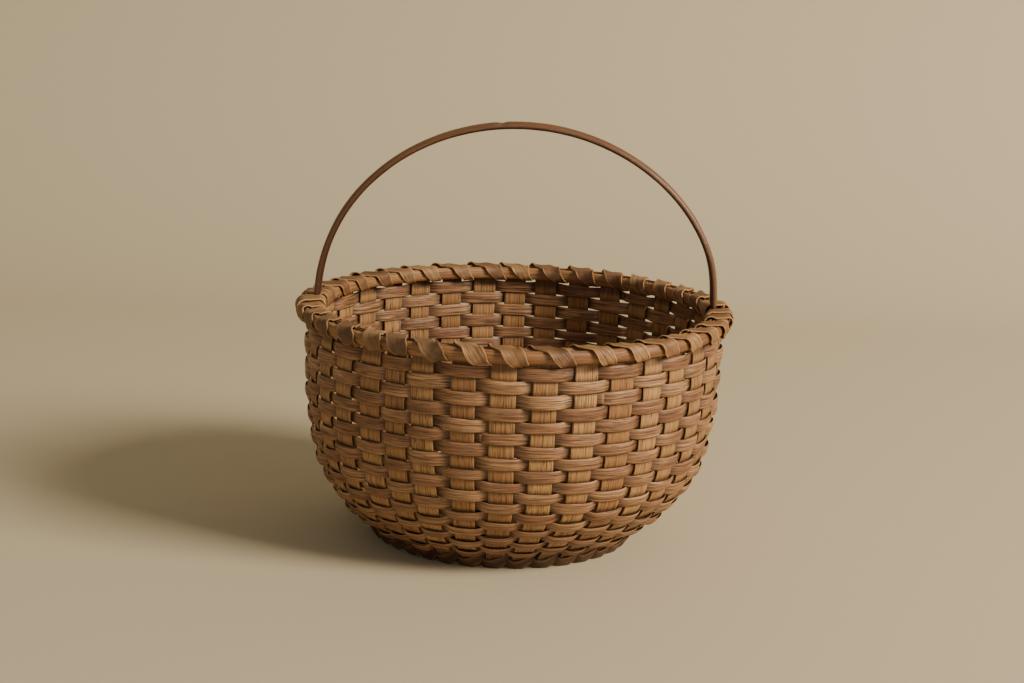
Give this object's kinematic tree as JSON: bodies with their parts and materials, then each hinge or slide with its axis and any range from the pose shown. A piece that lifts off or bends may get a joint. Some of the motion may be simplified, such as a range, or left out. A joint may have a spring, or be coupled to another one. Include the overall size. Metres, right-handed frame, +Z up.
{
  "type": "egg collection basket",
  "caption": "Round woven splint egg basket with curved sides, a twined foot, a lashed double-hoop rim and a fixed bent bow handle.",
  "frame": {"origin": "on the ground under the middle of the basket", "axes": "+Z up out of the basket's mouth, handle legs on the X axis, basket's front towards -Y"},
  "size_m": [0.3162, 0.315, 0.3048],
  "materials": {
    "upright_oak": "split white oak, raised grain, unfinished and aged",
    "weaver_oak": "thin split white oak, worn to a soft sheen",
    "foot_oak": "wide split white oak, darkened by the ground",
    "hoop_oak": "shaved half-round white oak, worn",
    "lashing_oak": "thin split white oak, ridged along the grain",
    "handle_oak": "shaved white oak, dark and polished by hands"
  },
  "bodies": {
    "root": {"stake_splint_01": "upright_oak", "stake_splint_02": "upright_oak", "stake_splint_03": "upright_oak", "stake_splint_04": "upright_oak", "stake_splint_05": "upright_oak", "stake_splint_06": "upright_oak", "stake_splint_07": "upright_oak", "stake_splint_08": "upright_oak", "stake_splint_09": "upright_oak", "stake_splint_10": "upright_oak", "stake_splint_11": "upright_oak", "stake_splint_12": "upright_oak", "stake_splint_13": "upright_oak", "stake_splint_14": "upright_oak", "stake_splint_15": "upright_oak", "stake_splint_16": "upright_oak", "stake_splint_17": "upright_oak", "stake_splint_18": "upright_oak", "side_row_01": "weaver_oak", "side_row_02": "weaver_oak", "side_row_03": "weaver_oak", "side_row_04": "weaver_oak", "side_row_05": "weaver_oak", "side_row_06": "weaver_oak", "side_row_07": "weaver_oak", "side_row_08": "weaver_oak", "side_row_09": "weaver_oak", "side_row_10": "weaver_oak", "side_row_11": "weaver_oak", "side_row_12": "weaver_oak", "side_row_13": "weaver_oak", "side_row_14": "weaver_oak", "side_row_15": "weaver_oak", "side_row_16": "weaver_oak", "side_row_17": "weaver_oak", "side_row_18": "weaver_oak", "side_row_19": "weaver_oak", "rim_row": "weaver_oak", "base_edge_rows": "weaver_oak", "outer_base_rows": "weaver_oak", "inner_base_rows": "weaver_oak", "foot_strand_a": "foot_oak", "foot_strand_b": "foot_oak", "outer_hoop": "hoop_oak", "inner_hoop": "hoop_oak", "rim_filler": "hoop_oak", "rim_lashing_back": "lashing_oak", "rim_lashing_front": "lashing_oak", "handle_binding_right": "lashing_oak", "handle_binding_left": "lashing_oak", "handle": "handle_oak"}
  },
  "joints": []
}
